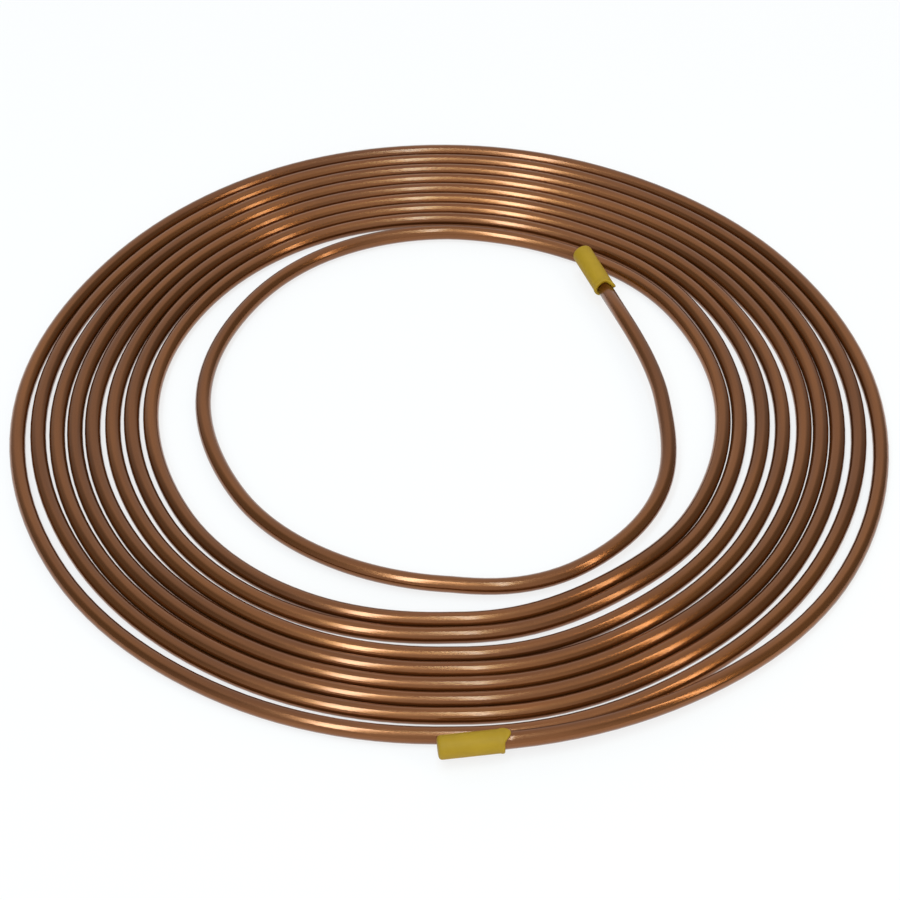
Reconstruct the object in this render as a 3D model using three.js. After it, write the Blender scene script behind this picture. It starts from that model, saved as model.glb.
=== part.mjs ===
// Brake line tubing: one length of soft copper alloy tube wound into a flat, hand-loose coil.
// Both ends wear a push-on plastic cap. The innermost turn springs free of the coil, and its
// capped end lies across the turns at the back.
//
// Millimetres, +Z up. The coil lies on z = 0 with the origin at the middle of its footprint.
// The tube is wound inwards, counter-clockwise seen from above. A place along it is given by
// its winding angle, in degrees: 0 at the front (-Y), where the outer end lies, 90 at the
// right (+X), 180 at the back, 270 at the left, 360 at the front again, one turn further in.

import * as THREE from 'three';

// Tube stock, 1/4 inch brake line.
const tubeOd = 6.35;
const tubeWall = 0.71;
const sectionSides = 8;
const stepAngle = 10;

// Coil: the mean radius of the outermost turn's centre line, how far that turn waves out of
// round every 30 degrees from the front, and the air between turns that lie side by side.
const fullTurn = 360;
const outerTurnRadius = 166.7;
const outerTurnStep = 30;
const outerTurnWaves = [-2.5, -0.5, 4.9, 5.2, -0.1, -5.5, -6.1, -2.5, 1.7, 6.6, 2.8, -4.6];
const turnClearance = 0.3;
const pitch = tubeOd + turnClearance;

// Where a turn stands off the next one inside it, the coil shows a lens-shaped gap: the number
// of that turn from the outside, the place round it where the gap is widest, its air there in
// mm, and how far round it closes on either side.
const lensGaps = [
  { turn: 1, at: 60, air: 3.6, before: 52, after: 50 },
  { turn: 1, at: 303, air: 2.7, before: 60, after: 75 },
  { turn: 2, at: 10, air: 1.3, before: 50, after: 50 },
  { turn: 2, at: 80, air: 1.8, before: 70, after: 60 },
  { turn: 2, at: 260, air: 1.2, before: 40, after: 45 },
  { turn: 3, at: 275, air: 0.4, before: 50, after: 65 },
  { turn: 4, at: 275, air: 0.4, before: 50, after: 65 },
  { turn: 5, at: 96, air: 1.9, before: 85, after: 45 },
  { turn: 5, at: 278, air: 1.4, before: 40, after: 50 },
  { turn: 6, at: 32, air: 0.6, before: 30, after: 25 },
  { turn: 6, at: 82, air: 1.5, before: 75, after: 45 },
  { turn: 6, at: 286, air: 1.0, before: 45, after: 45 },
  { turn: 7, at: 26, air: 2.8, before: 95, after: 70 },
  { turn: 7, at: 99, air: 2.6, before: 55, after: 42 },
  { turn: 7, at: 290, air: 1.2, before: 80, after: 100 },
  { turn: 8, at: 165, air: 1.8, before: 80, after: 60 },
];

// Free inner loop: the air between it and the turn outside it, every 30 degrees from the
// place where it leaves the coil at the back.
const loopStep = 30;
const loopStart = 2700;
const loopAir = [0, 4.6, 10.6, 14.4, 15.9, 14.2, 8.8, 2.8, 8, 18.1, 18.4, 7];

// Straight ends of the tube, where the winding stops and they begin, and the short arc there
// that they take their direction from.
const outerTailAt = 8;
const outerTailLength = 25.5;
const innerTailAt = 3360;
const innerTailLength = 43.5;
const tailDirectionArc = 0.5;

// Heights above the bed: the outer end springs up a little over a short way. The inner end
// rises over a longer one and climbs onto the coil at this slope, in degrees.
const outerLift = 5.5;
const outerLiftSpan = 60;
const innerTailRise = 1.8;
const innerLiftSpan = 240;

// Push-on end caps, clear of the tube's corners by the fit.
const capFit = 0.3;
const capWall = 0.56;
const capLength = 24.2;
const capEndWall = 1.6;
const capEdgeRound = 0.8;
const capLipFlare = 0.2;
const capLipLength = 1.5;
const capLipChamfer = 0.45;
const capSegments = 24;
const capRoundSteps = 4;

const bedHeight = tubeOd / 2;
const capBoreRadius = cornerRadius(tubeOd) + capFit;
const capRadius = capBoreRadius + capWall;
const capLipRadius = capRadius + capLipFlare;
const degree = Math.PI / 180;

const copper = new THREE.MeshStandardMaterial({ color: 0x8a5538, roughness: 0.32, metalness: 0.9 });
const yellowVinyl = new THREE.MeshStandardMaterial({ color: 0xb3962c, roughness: 0.55, metalness: 0 });

// A bump that rises smoothly to 1 at its middle and is 0 at both ends.
function swell(distance, before, after) {
  const reach = distance < 0 ? before : after;
  if (Math.abs(distance) >= reach) return 0;
  return (1 + Math.cos(Math.PI * distance / reach)) / 2;
}

// A smooth curve through evenly spaced values, read at any angle. It keeps its end values
// beyond both ends.
function evenlySpaced(values, start, step) {
  const curve = new THREE.SplineCurve(values.map((value, i) => new THREE.Vector2(start + i * step, value)));
  const span = (values.length - 1) * step;
  return (angle) => curve.getPoint(THREE.MathUtils.clamp((angle - start) / span, 0, 1)).y;
}

const loopAirAt = evenlySpaced(loopAir, loopStart, loopStep);

// Air between the turn at this winding angle and the next turn inside it.
function airInside(angle) {
  const lenses = lensGaps.map((gap) => {
    const middle = (gap.turn - 1) * fullTurn + gap.at;
    return gap.air * swell(angle - middle, gap.before, gap.after);
  });
  const loop = angle > loopStart ? loopAirAt(angle) : 0;
  return lenses.reduce((sum, air) => sum + air, loop);
}

function nextTurnIn(radius, angle) {
  return radius - pitch - airInside(angle);
}

// The outermost turn runs on into the second one without a kink, so its curve goes one
// station past both ends.
const outerTurnRadii = outerTurnWaves.map((wave) => outerTurnRadius + wave);
const secondTurnRadii = [0, 1].map((i) => nextTurnIn(outerTurnRadii[i], i * outerTurnStep));
const radiiWithEnds = [outerTurnRadii[0], ...outerTurnRadii, ...secondTurnRadii];
const outerTurnAt = evenlySpaced(radiiWithEnds, -outerTurnStep, outerTurnStep);

function centreRadius(angle) {
  if (angle <= fullTurn) return outerTurnAt(angle);
  return nextTurnIn(centreRadius(angle - fullTurn), angle - fullTurn);
}

// Height of the centre line above its bed. The inner end's cap rests on the turn below it.
const innerLift = tubeOd / 2 + capFit + capRadius;
const innerLiftStart = innerTailAt - innerLiftSpan;

function lift(angle) {
  if (angle < innerLiftStart) return outerLift * swell(angle - outerTailAt, outerLiftSpan, outerLiftSpan);
  const share = (angle - innerLiftStart) / innerLiftSpan;
  const slope = Math.tan(innerTailRise * degree);
  const tailStartLift = innerLift - slope * innerTailLength;
  const run = centreRadius(angle) * innerLiftSpan * degree;
  return tailStartLift * share ** 2 * (3 - 2 * share) + slope * run * share ** 2 * (share - 1);
}

function centreLine(angle) {
  const heading = (angle - 90) * degree;
  const radius = centreRadius(angle);
  return new THREE.Vector3(radius * Math.cos(heading), radius * Math.sin(heading), bedHeight + lift(angle));
}

// A straight end leaves the winding along its tangent; sense is +1 along the winding, -1 back.
function tail(angle, length, sense) {
  const start = centreLine(angle);
  const nearby = centreLine(angle - sense * tailDirectionArc);
  const direction = start.clone().sub(nearby).normalize();
  return { end: start.clone().addScaledVector(direction, length), direction };
}

const outerTail = tail(outerTailAt, outerTailLength, -1);
const innerTail = tail(innerTailAt, innerTailLength, 1);

// The whole route, with its stations at equal winding angles, so that the facets of
// neighbouring turns run side by side and keep their clearance.
class WoundRoute extends THREE.Curve {
  constructor(stations) {
    super();
    this.stations = stations;
  }

  getPoint(t, target = new THREE.Vector3()) {
    const place = t * (this.stations.length - 1);
    const i = Math.min(Math.floor(place), this.stations.length - 2);
    return target.lerpVectors(this.stations[i], this.stations[i + 1], place - i);
  }

  getPointAt(u, target) {
    return this.getPoint(u, target);
  }

  getTangentAt(u, target) {
    return this.getTangent(u, target);
  }

  // The section stays upright all the way, so that its foot lies flat on the floor.
  computeFrenetFrames(segments) {
    const tangents = Array.from({ length: segments + 1 }, (_, i) => this.getTangentAt(i / segments));
    const normals = tangents.map((tangent) => new THREE.Vector3(-tangent.y, tangent.x, 0).normalize());
    const binormals = tangents.map((tangent, i) => new THREE.Vector3().crossVectors(tangent, normals[i]));
    return { tangents, normals, binormals };
  }
}

function windingStations() {
  const stations = [outerTail.end];
  for (let angle = outerTailAt; angle < innerTailAt; angle += stepAngle) {
    stations.push(centreLine(angle));
  }
  stations.push(centreLine(innerTailAt), innerTail.end);
  return stations;
}

// The tube's section is a regular polygon drawn round the circle of its diameter.
function cornerRadius(diameter) {
  return diameter / 2 / Math.cos(Math.PI / sectionSides);
}

// A flat lies at the polygon's foot.
function polygonAround(diameter) {
  const radius = cornerRadius(diameter);
  return Array.from({ length: sectionSides }, (_, i) => {
    const corner = (i + 0.5) * 2 * Math.PI / sectionSides;
    return new THREE.Vector2(radius * Math.cos(corner), radius * Math.sin(corner));
  });
}

function makeTube() {
  const section = new THREE.Shape(polygonAround(tubeOd));
  section.holes.push(new THREE.Path(polygonAround(tubeOd - 2 * tubeWall)));
  const stations = windingStations();
  const geometry = new THREE.ExtrudeGeometry(section, {
    extrudePath: new WoundRoute(stations),
    steps: stations.length - 1,
    bevelEnabled: false,
  });
  const mesh = new THREE.Mesh(geometry, copper);
  mesh.name = 'brake_tube';
  return mesh;
}

// A thimble turned about +Y: closed, edge-rounded end at y = 0, rolled lip round its mouth.
function capProfile() {
  const profile = new THREE.Path();
  profile.moveTo(0, 0);
  profile.lineTo(capRadius - capEdgeRound, 0);
  profile.absarc(capRadius - capEdgeRound, capEdgeRound, capEdgeRound, -Math.PI / 2, 0);
  profile.lineTo(capRadius, capLength - capLipLength);
  profile.lineTo(capLipRadius, capLength - capLipLength + capLipChamfer);
  profile.lineTo(capLipRadius, capLength);
  profile.lineTo(capBoreRadius, capLength);
  profile.lineTo(capBoreRadius, capEndWall);
  profile.lineTo(0, capEndWall);
  return profile.getPoints(capRoundSteps);
}

// The cap's inner floor stops just short of the tube's cut end.
function makeCap(name, { end, direction }) {
  const mesh = new THREE.Mesh(new THREE.LatheGeometry(capProfile(), capSegments), yellowVinyl);
  mesh.name = name;
  const towardsMouth = direction.clone().negate();
  mesh.quaternion.setFromUnitVectors(new THREE.Vector3(0, 1, 0), towardsMouth);
  mesh.position.copy(end).addScaledVector(direction, capEndWall + capFit);
  return mesh;
}

const brakeLine = new THREE.Group();
brakeLine.add(makeTube());
brakeLine.add(makeCap('outer_end_cap', outerTail));
brakeLine.add(makeCap('inner_end_cap', innerTail));

const footprint = new THREE.Box3().setFromObject(brakeLine, true).getCenter(new THREE.Vector3());
brakeLine.position.set(-footprint.x, -footprint.y, 0);

export default brakeLine;
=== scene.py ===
"""A flat, hand-loose coil of brake line tubing with a vinyl cap on each end, on a pale floor."""

import math

import bpy
import numpy as np
from mathutils import Matrix, Vector


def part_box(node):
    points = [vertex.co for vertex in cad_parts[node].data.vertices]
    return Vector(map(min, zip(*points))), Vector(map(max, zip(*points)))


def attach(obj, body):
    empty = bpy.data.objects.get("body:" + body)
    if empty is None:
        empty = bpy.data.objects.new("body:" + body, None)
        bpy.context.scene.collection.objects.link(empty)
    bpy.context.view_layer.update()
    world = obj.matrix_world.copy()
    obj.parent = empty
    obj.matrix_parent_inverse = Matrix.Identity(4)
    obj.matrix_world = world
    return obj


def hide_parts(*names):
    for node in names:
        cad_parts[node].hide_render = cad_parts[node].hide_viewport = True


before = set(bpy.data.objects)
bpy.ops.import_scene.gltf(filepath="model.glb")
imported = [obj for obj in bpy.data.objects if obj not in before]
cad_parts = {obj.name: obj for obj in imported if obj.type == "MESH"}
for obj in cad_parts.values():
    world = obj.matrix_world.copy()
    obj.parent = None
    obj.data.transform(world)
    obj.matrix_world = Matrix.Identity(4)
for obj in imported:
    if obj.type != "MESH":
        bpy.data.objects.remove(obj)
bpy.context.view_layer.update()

# Sizes of the tube and its caps are in mm, and MM turns them into metres. A place along the
# tube is its winding angle in degrees: 0 at the front (-Y), counter-clockwise seen from above,
# 360 at the front again, one turn further in.
MM = 0.001
FULL_TURN = 360

# Tube stock, drawn round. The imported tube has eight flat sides.
TUBE_OD = 6.35
TUBE_RADIUS = TUBE_OD / 2
TUBE_WALL = 0.71
TUBE_SIDES = 28
PACKED_TUBE_SIDES = 8
STATION_STEP = 2.5

# The winding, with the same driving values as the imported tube. The outermost turn waves out of
# round by these amounts, a step apart from the front. Each gap between two turns has the outer
# one's number, its place, its widest air, and how far round it closes before and after.
OUTER_TURN_RADIUS = 166.7
OUTER_TURN_STEP = 30
OUTER_TURN_WAVES = [-2.5, -0.5, 4.9, 5.2, -0.1, -5.5, -6.1, -2.5, 1.7, 6.6, 2.8, -4.6]
TURN_CLEARANCE = 0.3
TURN_PITCH = TUBE_OD + TURN_CLEARANCE
LENS_GAPS = [
    (1, 60, 3.6, 52, 50),
    (1, 303, 2.7, 60, 75),
    (2, 10, 1.3, 50, 50),
    (2, 80, 1.8, 70, 60),
    (2, 260, 1.2, 40, 45),
    (3, 275, 0.4, 50, 65),
    (4, 275, 0.4, 50, 65),
    (5, 96, 1.9, 85, 45),
    (5, 278, 1.4, 40, 50),
    (6, 32, 0.6, 30, 25),
    (6, 82, 1.5, 75, 45),
    (6, 286, 1.0, 45, 45),
    (7, 26, 2.8, 95, 70),
    (7, 99, 2.6, 55, 42),
    (7, 290, 1.2, 80, 100),
    (8, 165, 1.8, 80, 60),
]

# The free inner loop: the air outside it, a step apart from where it leaves the coil.
LOOP_STEP = 30
LOOP_START = 2700
LOOP_AIR = [0, 4.6, 10.6, 14.4, 15.9, 14.2, 8.8, 2.8, 8, 18.1, 18.4, 7]

# Straight ends of the tube, the short arc that gives them their direction, and how far each
# end lifts off the floor. The inner end rises at this slope, in degrees.
OUTER_TAIL_AT = 8
OUTER_TAIL_LENGTH = 25.5
INNER_TAIL_AT = 3360
INNER_TAIL_LENGTH = 43.5
TAIL_DIRECTION_ARC = 0.5
OUTER_LIFT = 5.5
OUTER_LIFT_SPAN = 60
INNER_TAIL_RISE = 1.8
INNER_LIFT_SPAN = 240

# Push-on caps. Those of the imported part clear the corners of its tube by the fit, and these
# have the same outside and grip the round tube.
CAP_FIT = 0.3
CAP_WALL = 0.56
CAP_RADIUS = TUBE_RADIUS / math.cos(math.pi / PACKED_TUBE_SIDES) + CAP_FIT + CAP_WALL
CAP_LENGTH = 24.2
CAP_END_WALL = 1.6
CAP_GRIP_AIR = 0.03
CAP_SEGMENTS = 64

# The closed end's rounded edge, and the rings between it and the lip.
CAP_EDGE_ROUND = 1.3
CAP_EDGE_RINGS = 9
CAP_SIDE_START = 3
CAP_SIDE_END_BACK = 2.2
CAP_SIDE_RINGS = 12

# The rolled lip, as how far back from the mouth and how far out from the cap's side.
CAP_LIP = [(1.5, 0.02), (1.2, 0.16), (0.8, 0.20), (0.3, 0.16), (0.05, -0.05), (0, -0.3)]

# The bore: its bevel at the mouth, its straight rim, its rings, and its bevelled floor.
CAP_BORE_BEVEL = 0.05
CAP_RIM_DEPTH = 0.4
CAP_BORE_START_BACK = 1.5
CAP_BORE_RINGS = 8
CAP_FLOOR_BEVEL = 0.5

# The lip's pull tab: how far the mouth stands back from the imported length, how far the tab
# reaches past the mouth, half its width, and its place round each cap, both in degrees.
CAP_MOUTH_BACK = 1.0
CAP_TAB_REACH = 2.5
CAP_TAB_HALF_WIDTH = 62
OUTER_TAB_AT = 98
INNER_TAB_AT = 150

# The tube's map to bake through, a unit square. Its outside and its bore lie in it as rows of
# strips up to these heights, with the cut ends above them.
MAP_NAME = "OFBake"
MAP_MARGIN = 0.002
OUTSIDE_ROWS = 20
OUTSIDE_TOP = 0.8
BORE_ROWS = 8
BORE_TOP = 0.97
ROW_GAP = 0.08
END_STRIP_LEFTS = (0.1, 0.6)
END_STRIP_WIDTH = 0.3
END_STRIP_FOOT = 0.98
END_STRIP_TOP = 0.99

# The vertex attribute that holds each point of the tube as if the tube were pulled straight.
STRAIGHTENED = "straightened"

# The floor, in metres, just under the tube. This share of what is seen of it is an even white,
# and the rest takes light and shadow.
FLOOR_HALF = 6.0
FLOOR_DROP = 0.0005
FLOOR_EVEN_SHARE = 0.75

# The room's light, as strengths of its walls and its ceiling. The walls are bright in front of
# the coil and behind it, about a middle a little to the left, and fade to the dim side walls
# between these shares of fully sideways. They meet the ceiling between these of straight up.
MIDDLE_WALL_LIGHT = 0.83
SIDE_WALL_LIGHT = 0.2
CEILING_LIGHT = 0.9
BRIGHT_MIDDLE_LEFT = 0.07
WALLS_DIM_FROM = 0.42
WALLS_DIM_TO = 1.0
CEILING_FROM = 0.78
CEILING_TO = 0.96

# The camera: its place from the winding's middle in metres, how far it looks down in degrees,
# and its lens and sensor in mm.
CAMERA_PLACE = (0, -0.5582, 0.6001)
CAMERA_LOOKS_DOWN = 48.1
CAMERA_LENS = 80.9
CAMERA_SENSOR = 36


# ---------------------------------------------------------------- the tube's route, in mm

def swell(distance, before, after):
    """A bump that rises smoothly to 1 at its middle and is 0 at both ends."""
    reach = before if distance < 0 else after
    if abs(distance) >= reach:
        return 0.0
    return (1 + math.cos(math.pi * distance / reach)) / 2


def evenly_spaced(values, start, step):
    """A smooth curve through evenly spaced values, which keeps its end values past both ends."""
    last = len(values) - 1

    def at(angle):
        place = min(max((angle - start) / step, 0), last)
        i = min(int(place), last - 1)
        share = place - i
        p0, p1, p2, p3 = (values[min(max(k, 0), last)] for k in range(i - 1, i + 3))
        leave, arrive = (p2 - p0) / 2, (p3 - p1) / 2
        cubic = 2 * p1 - 2 * p2 + leave + arrive
        square = -3 * p1 + 3 * p2 - 2 * leave - arrive
        return ((cubic * share + square) * share + leave) * share + p1

    return at


loop_air_at = evenly_spaced(LOOP_AIR, LOOP_START, LOOP_STEP)


def next_turn_in(radius, angle):
    """The radius one turn further in, past the air that this turn leaves inside it."""
    air = loop_air_at(angle) if angle > LOOP_START else 0
    for turn, place, widest, before, after in LENS_GAPS:
        air += widest * swell(angle - (turn - 1) * FULL_TURN - place, before, after)
    return radius - TURN_PITCH - air


# The outermost turn runs on into the second one without a kink, so its curve goes one station
# past both ends.
outer_turn_radii = [OUTER_TURN_RADIUS + wave for wave in OUTER_TURN_WAVES]
second_turn_radii = [next_turn_in(outer_turn_radii[i], i * OUTER_TURN_STEP) for i in (0, 1)]
radii_with_ends = [outer_turn_radii[0], *outer_turn_radii, *second_turn_radii]
outer_turn_at = evenly_spaced(radii_with_ends, -OUTER_TURN_STEP, OUTER_TURN_STEP)


def centre_radius(angle):
    if angle <= FULL_TURN:
        return outer_turn_at(angle)
    return next_turn_in(centre_radius(angle - FULL_TURN), angle - FULL_TURN)


# The inner end's cap rests on the turn below it.
INNER_LIFT = TUBE_RADIUS + CAP_FIT + CAP_RADIUS
INNER_LIFT_START = INNER_TAIL_AT - INNER_LIFT_SPAN


def lift(angle):
    """How far the tube's middle stands above its height on the floor."""
    if angle < INNER_LIFT_START:
        return OUTER_LIFT * swell(angle - OUTER_TAIL_AT, OUTER_LIFT_SPAN, OUTER_LIFT_SPAN)
    share = (angle - INNER_LIFT_START) / INNER_LIFT_SPAN
    slope = math.tan(math.radians(INNER_TAIL_RISE))
    tail_start = INNER_LIFT - slope * INNER_TAIL_LENGTH
    run = centre_radius(angle) * math.radians(INNER_LIFT_SPAN)
    return tail_start * share ** 2 * (3 - 2 * share) + slope * run * share ** 2 * (share - 1)


def centre_line(angle):
    heading = math.radians(angle - 90)
    radius = centre_radius(angle)
    height = TUBE_RADIUS + lift(angle)
    return np.array([radius * math.cos(heading), radius * math.sin(heading), height])


def straight_end(angle, length, sense):
    """The tube's cut end and the direction it leaves in; sense is 1 along the winding, -1 back."""
    start = centre_line(angle)
    direction = start - centre_line(angle - sense * TAIL_DIRECTION_ARC)
    direction /= np.linalg.norm(direction)
    return start + direction * length, direction


outer_end, outer_direction = straight_end(OUTER_TAIL_AT, OUTER_TAIL_LENGTH, -1)
inner_end, inner_direction = straight_end(INNER_TAIL_AT, INNER_TAIL_LENGTH, 1)
winding = [centre_line(angle) for angle in np.arange(OUTER_TAIL_AT, INNER_TAIL_AT, STATION_STEP)]
route_mm = np.array([outer_end, *winding, centre_line(INNER_TAIL_AT), inner_end])

box_low, box_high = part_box("brake_tube")
route_middle = (route_mm.min(axis=0) + route_mm.max(axis=0)) / 2 * MM
winding_place = np.array([
    (box_low.x + box_high.x) / 2 - route_middle[0],
    (box_low.y + box_high.y) / 2 - route_middle[1],
    0,
])


def placed(points_mm):
    """From mm in the winding's own frame to metres in the row frame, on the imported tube."""
    return np.asarray(points_mm) * MM + winding_place


# ---------------------------------------------------------------- meshes

def new_piece(name, vertices, faces, material):
    """A smoothly shaded mesh on the part's one body."""
    mesh = bpy.data.meshes.new(name)
    mesh.from_pydata([tuple(v) for v in vertices], [], faces)
    mesh.polygons.foreach_set("use_smooth", [True] * len(mesh.polygons))
    mesh.update()
    piece = bpy.data.objects.new(name, mesh)
    bpy.context.scene.collection.objects.link(piece)
    mesh.materials.append(material)
    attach(piece, "root")
    return piece


def tube_faces(stations):
    """The outside and the bore, segment by segment, and then both cut ends.

    The points of the bore follow all those of the outside.
    """
    bore = stations * TUBE_SIDES
    last = bore - TUBE_SIDES
    faces = []
    for i in range(stations - 1):
        for k in range(TUBE_SIDES):
            a, b = i * TUBE_SIDES + k, i * TUBE_SIDES + (k + 1) % TUBE_SIDES
            c, d = b + TUBE_SIDES, a + TUBE_SIDES
            faces.append((a, d, c, b))
            faces.append((bore + a, bore + b, bore + c, bore + d))
    for k in range(TUBE_SIDES):
        a, b = k, (k + 1) % TUBE_SIDES
        faces.append((a, b, bore + b, bore + a))
        faces.append((last + b, last + a, bore + last + a, bore + last + b))
    return faces


def strip_rows(lengths, low, high, rows):
    """The tube cut into this many strips, laid in rows between two heights of the map.

    Gives each segment its left and right end there, and its row's foot and height.
    """
    segments = len(lengths) - 1
    in_row = math.ceil(segments / rows)
    row_starts = [lengths[i // in_row * in_row] for i in range(segments)]
    longest = max(lengths[i + 1] - row_starts[i] for i in range(segments))
    row_height = (high - low) / rows
    laid = []
    for i, row_start in enumerate(row_starts):
        left = MAP_MARGIN + (1 - 2 * MAP_MARGIN) * (lengths[i] - row_start) / longest
        right = MAP_MARGIN + (1 - 2 * MAP_MARGIN) * (lengths[i + 1] - row_start) / longest
        foot = low + row_height * (i // in_row + ROW_GAP / 2)
        laid.append((left, right, foot, row_height * (1 - ROW_GAP)))
    return laid


def lay_out_strips(mesh, lengths):
    """The tube's map, corner by corner in the order of its faces."""
    corners = []
    outside = strip_rows(lengths, 0, OUTSIDE_TOP, OUTSIDE_ROWS)
    bore = strip_rows(lengths, OUTSIDE_TOP, BORE_TOP, BORE_ROWS)
    for segment in range(len(lengths) - 1):
        for k in range(TUBE_SIDES):
            left, right, foot, height = outside[segment]
            bottom, top = (foot + height * n / TUBE_SIDES for n in (k, k + 1))
            corners += [left, bottom, right, bottom, right, top, left, top]
            left, right, foot, height = bore[segment]
            bottom, top = (foot + height * n / TUBE_SIDES for n in (k, k + 1))
            corners += [left, bottom, left, top, right, top, right, bottom]
    bottom, top = END_STRIP_FOOT, END_STRIP_TOP
    for k in range(TUBE_SIDES):
        for end_left in END_STRIP_LEFTS:
            left, right = (end_left + END_STRIP_WIDTH * n / TUBE_SIDES for n in (k, k + 1))
            corners += [left, bottom, right, bottom, right, top, left, top]
    mesh.uv_layers.new(name=MAP_NAME).data.foreach_set("uv", corners)


def make_tube(material):
    """The tube itself, swept along its route with its bore open to the cut ends."""
    route = placed(route_mm)
    lengths = np.concatenate([[0], np.cumsum(np.linalg.norm(np.diff(route, axis=0), axis=1))])
    tangents = np.gradient(route, axis=0)
    tangents /= np.linalg.norm(tangents, axis=1, keepdims=True)
    sideways = np.stack([-tangents[:, 1], tangents[:, 0], np.zeros(len(route))], axis=1)
    sideways /= np.linalg.norm(sideways, axis=1, keepdims=True)
    upwards = np.cross(tangents, sideways)
    around = np.arange(TUBE_SIDES) * 2 * math.pi / TUBE_SIDES
    circle = np.cos(around)[None, :, None] * sideways[:, None, :]
    circle = circle + np.sin(around)[None, :, None] * upwards[:, None, :]

    rings, straightened = [], []
    for radius in (TUBE_RADIUS * MM, (TUBE_RADIUS - TUBE_WALL) * MM):
        rings.append((route[:, None, :] + circle * radius).reshape(-1, 3))
        straightened.append(np.stack([
            np.repeat(lengths, TUBE_SIDES),
            np.tile(np.cos(around) * radius, len(route)),
            np.tile(np.sin(around) * radius, len(route)),
        ], axis=1))
    faces = tube_faces(len(route))
    tube = new_piece("copper_tube", np.concatenate(rings), faces, material)
    lay_out_strips(tube.data, lengths)
    attribute = tube.data.attributes.new(STRAIGHTENED, "FLOAT_VECTOR", "POINT")
    attribute.data.foreach_set("vector", np.concatenate(straightened).astype(np.float32).ravel())
    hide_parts("brake_tube")


def cap_profile():
    """Half section of a cap in mm, as (distance from the closed end, radius, share of the tab)."""
    bore = TUBE_RADIUS + CAP_GRIP_AIR
    mouth = CAP_LENGTH - CAP_MOUTH_BACK
    flat_end = CAP_RADIUS - CAP_EDGE_ROUND
    end = [(0, 0, 0), (0, flat_end / 2, 0)]
    for turn in np.linspace(0, math.pi / 2, CAP_EDGE_RINGS):
        along = CAP_EDGE_ROUND * (1 - math.cos(turn))
        end.append((along, CAP_RADIUS - CAP_EDGE_ROUND * (1 - math.sin(turn)), 0))
    side_places = np.linspace(CAP_SIDE_START, mouth - CAP_SIDE_END_BACK, CAP_SIDE_RINGS)
    side = [(along, CAP_RADIUS, 0) for along in side_places]
    lip = [(mouth - back, CAP_RADIUS + out, 1) for back, out in CAP_LIP]
    rim = [
        (mouth, bore + CAP_BORE_BEVEL, 1),
        (mouth - CAP_BORE_BEVEL, bore, 1),
        (mouth - CAP_RIM_DEPTH, bore, 1),
    ]
    bore_floor = CAP_END_WALL + CAP_FLOOR_BEVEL
    bore_places = np.linspace(mouth - CAP_BORE_START_BACK, bore_floor, CAP_BORE_RINGS)
    inside = [(along, bore, 0) for along in bore_places]
    inner_floor = [(CAP_END_WALL, bore - CAP_FLOOR_BEVEL, 0), (CAP_END_WALL, 0, 0)]
    return [*end, *side, *lip, *rim, *inside, *inner_floor]


def make_cap(name, node, tip, direction, tab_at, material):
    """A dipped vinyl thimble over one end of the tube; tab_at is the tab's place round it."""
    forward = np.asarray(direction)
    sideways = np.array([-forward[1], forward[0], 0])
    sideways /= np.linalg.norm(sideways)
    upwards = np.cross(forward, sideways)
    closed_end = np.asarray(tip) + forward * (CAP_END_WALL + CAP_FIT)
    vertices, rings = [], []
    for along, radius, tab_share in cap_profile():
        count = CAP_SEGMENTS if radius else 1
        rings.append([len(vertices) + k for k in range(count)])
        for k in range(count):
            turn = k * FULL_TURN / CAP_SEGMENTS
            tab = CAP_TAB_REACH * swell(turn - tab_at, CAP_TAB_HALF_WIDTH, CAP_TAB_HALF_WIDTH)
            outwards = math.cos(math.radians(turn)) * sideways + math.sin(math.radians(turn)) * upwards
            vertices.append(closed_end - forward * (along + tab_share * tab) + radius * outwards)
    faces = []
    for here, there in zip(rings, rings[1:]):
        for k in range(CAP_SEGMENTS):
            after = (k + 1) % CAP_SEGMENTS
            if len(here) == 1:
                faces.append((here[0], there[k], there[after]))
            elif len(there) == 1:
                faces.append((here[k], there[0], here[after]))
            else:
                faces.append((here[k], there[k], there[after], here[after]))
    cap = new_piece(name, placed(vertices), faces, material)
    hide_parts(node)


# ---------------------------------------------------------------- materials

def new_material(name):
    """An empty material; returns it with its nodes, its links and its main shader."""
    material = bpy.data.materials.new(name)
    material.use_nodes = True
    nodes = material.node_tree.nodes
    return material, nodes, material.node_tree.links, nodes["Principled BSDF"]


def calculate(nodes, links, operation, *values):
    """A math node over these numbers and other nodes' outputs; returns its output."""
    node = nodes.new("ShaderNodeMath")
    node.operation = operation
    for value, socket in zip(values, node.inputs):
        if isinstance(value, (int, float)):
            socket.default_value = value
        else:
            links.new(value, socket)
    return node.outputs[0]


def smooth_step(nodes, links, value, start, end, low, high):
    """Runs smoothly from low, up to start, to high, from end on."""
    node = nodes.new("ShaderNodeMapRange")
    node.interpolation_type = "SMOOTHSTEP"
    for name, number in (("From Min", start), ("From Max", end), ("To Min", low), ("To Max", high)):
        node.inputs[name].default_value = number
    links.new(value, node.inputs["Value"])
    return node.outputs["Result"]


def noise(nodes, links, coordinates, stretch, scale, detail):
    """Noise over these coordinates, stretched by this vector; returns its 0-1 output."""
    mapping = nodes.new("ShaderNodeMapping")
    mapping.inputs["Scale"].default_value = stretch
    links.new(coordinates, mapping.inputs["Vector"])
    texture = nodes.new("ShaderNodeTexNoise")
    texture.inputs["Scale"].default_value = scale
    texture.inputs["Detail"].default_value = detail
    links.new(mapping.outputs["Vector"], texture.inputs["Vector"])
    return texture.outputs["Fac"]


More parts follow.
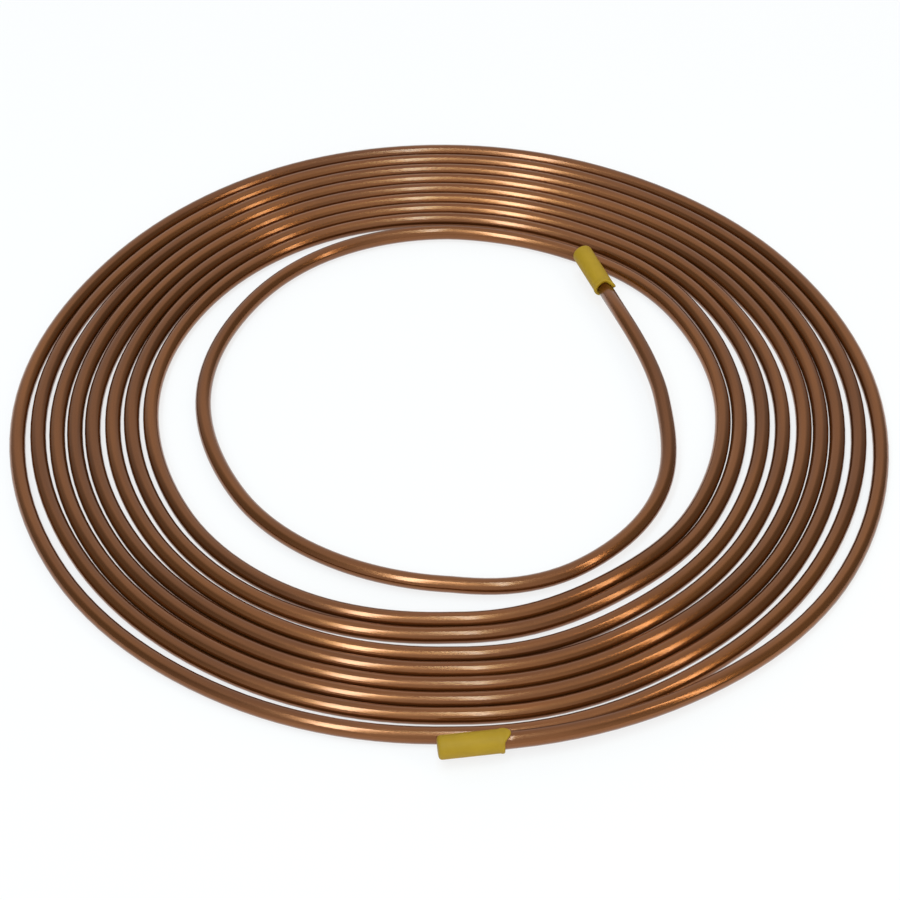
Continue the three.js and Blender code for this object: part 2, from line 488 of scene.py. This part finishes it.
def ramp(nodes, links, value, stops):
    """A colour ramp with these (place, colour) stops, read at value."""
    node = nodes.new("ShaderNodeValToRGB")
    elements = node.color_ramp.elements
    while len(elements) < len(stops):
        elements.new(0.5)
    for element, (place, colour) in zip(elements, stops):
        element.position = place
        element.color = (*colour, 1)
    links.new(value, node.inputs["Fac"])
    return node.outputs["Color"]


def grey(value):
    return (value, value, value)


def make_copper():
    """Drawn copper alloy: brown tarnish in long soft streaks, and a fine grain along the tube."""
    material, nodes, links, shader = new_material("drawn copper alloy")
    attribute = nodes.new("ShaderNodeAttribute")
    attribute.attribute_name = STRAIGHTENED
    straight = attribute.outputs["Vector"]

    tarnish = noise(nodes, links, straight, stretch=(1, 12, 12), scale=11, detail=3)
    colour = ramp(nodes, links, tarnish, [
        (0.30, (0.158, 0.051, 0.011)),
        (0.50, (0.203, 0.067, 0.014)),
        (0.70, (0.248, 0.084, 0.018)),
    ])
    links.new(colour, shader.inputs["Base Color"])

    grain = noise(nodes, links, straight, stretch=(1, 60, 60), scale=30, detail=4)
    roughness = ramp(nodes, links, grain, [(0.3, grey(0.18)), (0.7, grey(0.20))])
    links.new(roughness, shader.inputs["Roughness"])

    bump = nodes.new("ShaderNodeBump")
    bump.inputs["Strength"].default_value = 0.012
    bump.inputs["Distance"].default_value = 0.0001
    links.new(grain, bump.inputs["Height"])
    links.new(bump.outputs["Normal"], shader.inputs["Normal"])

    shader.inputs["Metallic"].default_value = 0.8
    shader.inputs["Coat Weight"].default_value = 0.5
    shader.inputs["Coat Roughness"].default_value = 0.13
    return material


def make_vinyl():
    """Yellow dipped vinyl, slightly mottled and nearly matt."""
    material, nodes, links, shader = new_material("yellow dipped vinyl")
    place = nodes.new("ShaderNodeTexCoord").outputs["Object"]
    mottle = noise(nodes, links, place, stretch=(1, 1, 1), scale=120, detail=3)
    colour = ramp(nodes, links, mottle, [
        (0.3, (0.350, 0.202, 0.005)),
        (0.7, (0.410, 0.240, 0.008)),
    ])
    links.new(colour, shader.inputs["Base Color"])
    shader.inputs["Roughness"].default_value = 0.6
    shader.inputs["Specular IOR Level"].default_value = 0.3
    return material


# ---------------------------------------------------------------- stage, light and camera

def seen_directly(nodes, links):
    """1 where the camera sees it straight, in a reflection or through glass, otherwise 0."""
    path = nodes.new("ShaderNodeLightPath")
    seen = path.outputs["Is Camera Ray"]
    for ray in ("Is Glossy Ray", "Is Transmission Ray"):
        seen = calculate(nodes, links, "MAXIMUM", seen, path.outputs[ray])
    return seen


def make_floor():
    """A white floor that keeps a soft shadow."""
    mesh = bpy.data.meshes.new("floor")
    corners = [(x * FLOOR_HALF, y * FLOOR_HALF, 0) for x, y in ((-1, -1), (1, -1), (1, 1), (-1, 1))]
    mesh.from_pydata(corners, [], [(0, 1, 2, 3)])
    floor = bpy.data.objects.new("floor", mesh)
    bpy.context.scene.collection.objects.link(floor)
    floor.location.z = -FLOOR_DROP
    material, nodes, links, shader = new_material("pale floor")
    shader.inputs["Base Color"].default_value = (0.93, 0.9, 0.88, 1)
    shader.inputs["Roughness"].default_value = 0.9
    white = nodes.new("ShaderNodeEmission")
    share = calculate(nodes, links, "MULTIPLY", seen_directly(nodes, links), FLOOR_EVEN_SHARE)
    mix = nodes.new("ShaderNodeMixShader")
    links.new(share, mix.inputs["Fac"])
    links.new(shader.outputs["BSDF"], mix.inputs[1])
    links.new(white.outputs["Emission"], mix.inputs[2])
    links.new(mix.outputs["Shader"], nodes["Material Output"].inputs["Surface"])
    mesh.materials.append(material)


def make_world():
    """A light room, dim towards its left and right walls, so that round metal shows its form."""
    world = bpy.data.worlds.new("studio")
    bpy.context.scene.world = world
    world.use_nodes = True
    nodes, links = world.node_tree.nodes, world.node_tree.links
    direction = nodes.new("ShaderNodeTexCoord").outputs["Generated"]
    level = nodes.new("ShaderNodeVectorMath")
    level.operation = "MULTIPLY"
    level.inputs[1].default_value = (1, 1, 0)
    links.new(direction, level.inputs[0])
    heading = nodes.new("ShaderNodeVectorMath")
    heading.operation = "NORMALIZE"
    links.new(level.outputs["Vector"], heading.inputs[0])
    heading_axes = nodes.new("ShaderNodeSeparateXYZ")
    links.new(heading.outputs["Vector"], heading_axes.inputs["Vector"])
    axes = nodes.new("ShaderNodeSeparateXYZ")
    links.new(direction, axes.inputs["Vector"])

    off_middle = calculate(nodes, links, "ADD", heading_axes.outputs["X"], BRIGHT_MIDDLE_LEFT)
    sideways = calculate(nodes, links, "ABSOLUTE", off_middle)
    walls = smooth_step(
        nodes, links, sideways, WALLS_DIM_FROM, WALLS_DIM_TO, MIDDLE_WALL_LIGHT, SIDE_WALL_LIGHT)
    ceiling = smooth_step(nodes, links, axes.outputs["Z"], CEILING_FROM, CEILING_TO, 0, 1)
    above_walls = calculate(nodes, links, "SUBTRACT", CEILING_LIGHT, walls)
    strength = calculate(nodes, links, "MULTIPLY_ADD", above_walls, ceiling, walls)
    links.new(strength, nodes["Background"].inputs["Strength"])
    nodes["Background"].inputs["Color"].default_value = (1, 1, 1, 1)


def make_lamp(name, heading, elevation, distance, square_to, half_width, half_length, radiance, colour):
    """A flat lamp over the coil; its long side stands square to the tube at one place round it.

    Heading, elevation, that place and both half sizes are in degrees, as seen from the coil,
    and the heading and the place count from +X. The distance is in metres.
    """
    heading, elevation, square_to = (math.radians(v) for v in (heading, elevation, square_to))
    outward = Vector((
        math.cos(heading) * math.cos(elevation),
        math.sin(heading) * math.cos(elevation),
        math.sin(elevation),
    ))
    tube_way = Vector((-math.sin(square_to), math.cos(square_to), 0))
    long_way = tube_way.cross(outward).normalized()
    wide_way = long_way.cross(outward)
    lamp = bpy.data.lights.new(name, "AREA")
    lamp.shape = "RECTANGLE"
    lamp.size = 2 * distance * math.tan(math.radians(half_width))
    lamp.size_y = 2 * distance * math.tan(math.radians(half_length))
    lamp.energy = radiance * math.pi * lamp.size * lamp.size_y
    lamp.color = colour
    holder = bpy.data.objects.new(name, lamp)
    bpy.context.scene.collection.objects.link(holder)
    turned = Matrix((wide_way, long_way, outward)).transposed().to_4x4()
    holder.matrix_world = Matrix.Translation(outward * distance) @ turned


def make_lamps():
    """Three long narrow strips, for the three pairs of highlights on the coil, and a soft panel."""
    make_lamp(
        "strip left", heading=240.5, elevation=58, distance=2.5, square_to=256,
        half_width=3.2, half_length=24, radiance=15.5, colour=(0.66, 0.88, 1.0))
    make_lamp(
        "strip middle", heading=284, elevation=77, distance=2.5, square_to=274.5,
        half_width=0.8, half_length=24, radiance=25, colour=(0.44, 0.76, 1.0))
    make_lamp(
        "strip right", heading=332, elevation=43, distance=0.8, square_to=303.5,
        half_width=1.4, half_length=24, radiance=11.5, colour=(1.0, 0.9, 0.6))
    make_lamp(
        "soft panel", heading=262, elevation=66, distance=2.5, square_to=266,
        half_width=9, half_length=12, radiance=0.3, colour=(0.9, 0.95, 1))


def make_camera():
    camera = bpy.data.cameras.new("camera")
    camera.lens = CAMERA_LENS
    camera.sensor_width = CAMERA_SENSOR
    holder = bpy.data.objects.new("camera", camera)
    bpy.context.scene.collection.objects.link(holder)
    holder.location = Vector(CAMERA_PLACE) + Vector(winding_place)
    holder.rotation_euler = (math.radians(90 - CAMERA_LOOKS_DOWN), 0, 0)
    bpy.context.scene.camera = holder


bpy.context.scene.view_settings.view_transform = "Standard"
make_camera()
make_floor()
make_world()
make_lamps()

copper = make_copper()
vinyl = make_vinyl()
make_tube(copper)
make_cap("outer_vinyl_cap", "outer_end_cap", outer_end, outer_direction, OUTER_TAB_AT, vinyl)
make_cap("inner_vinyl_cap", "inner_end_cap", inner_end, inner_direction, INNER_TAB_AT, vinyl)
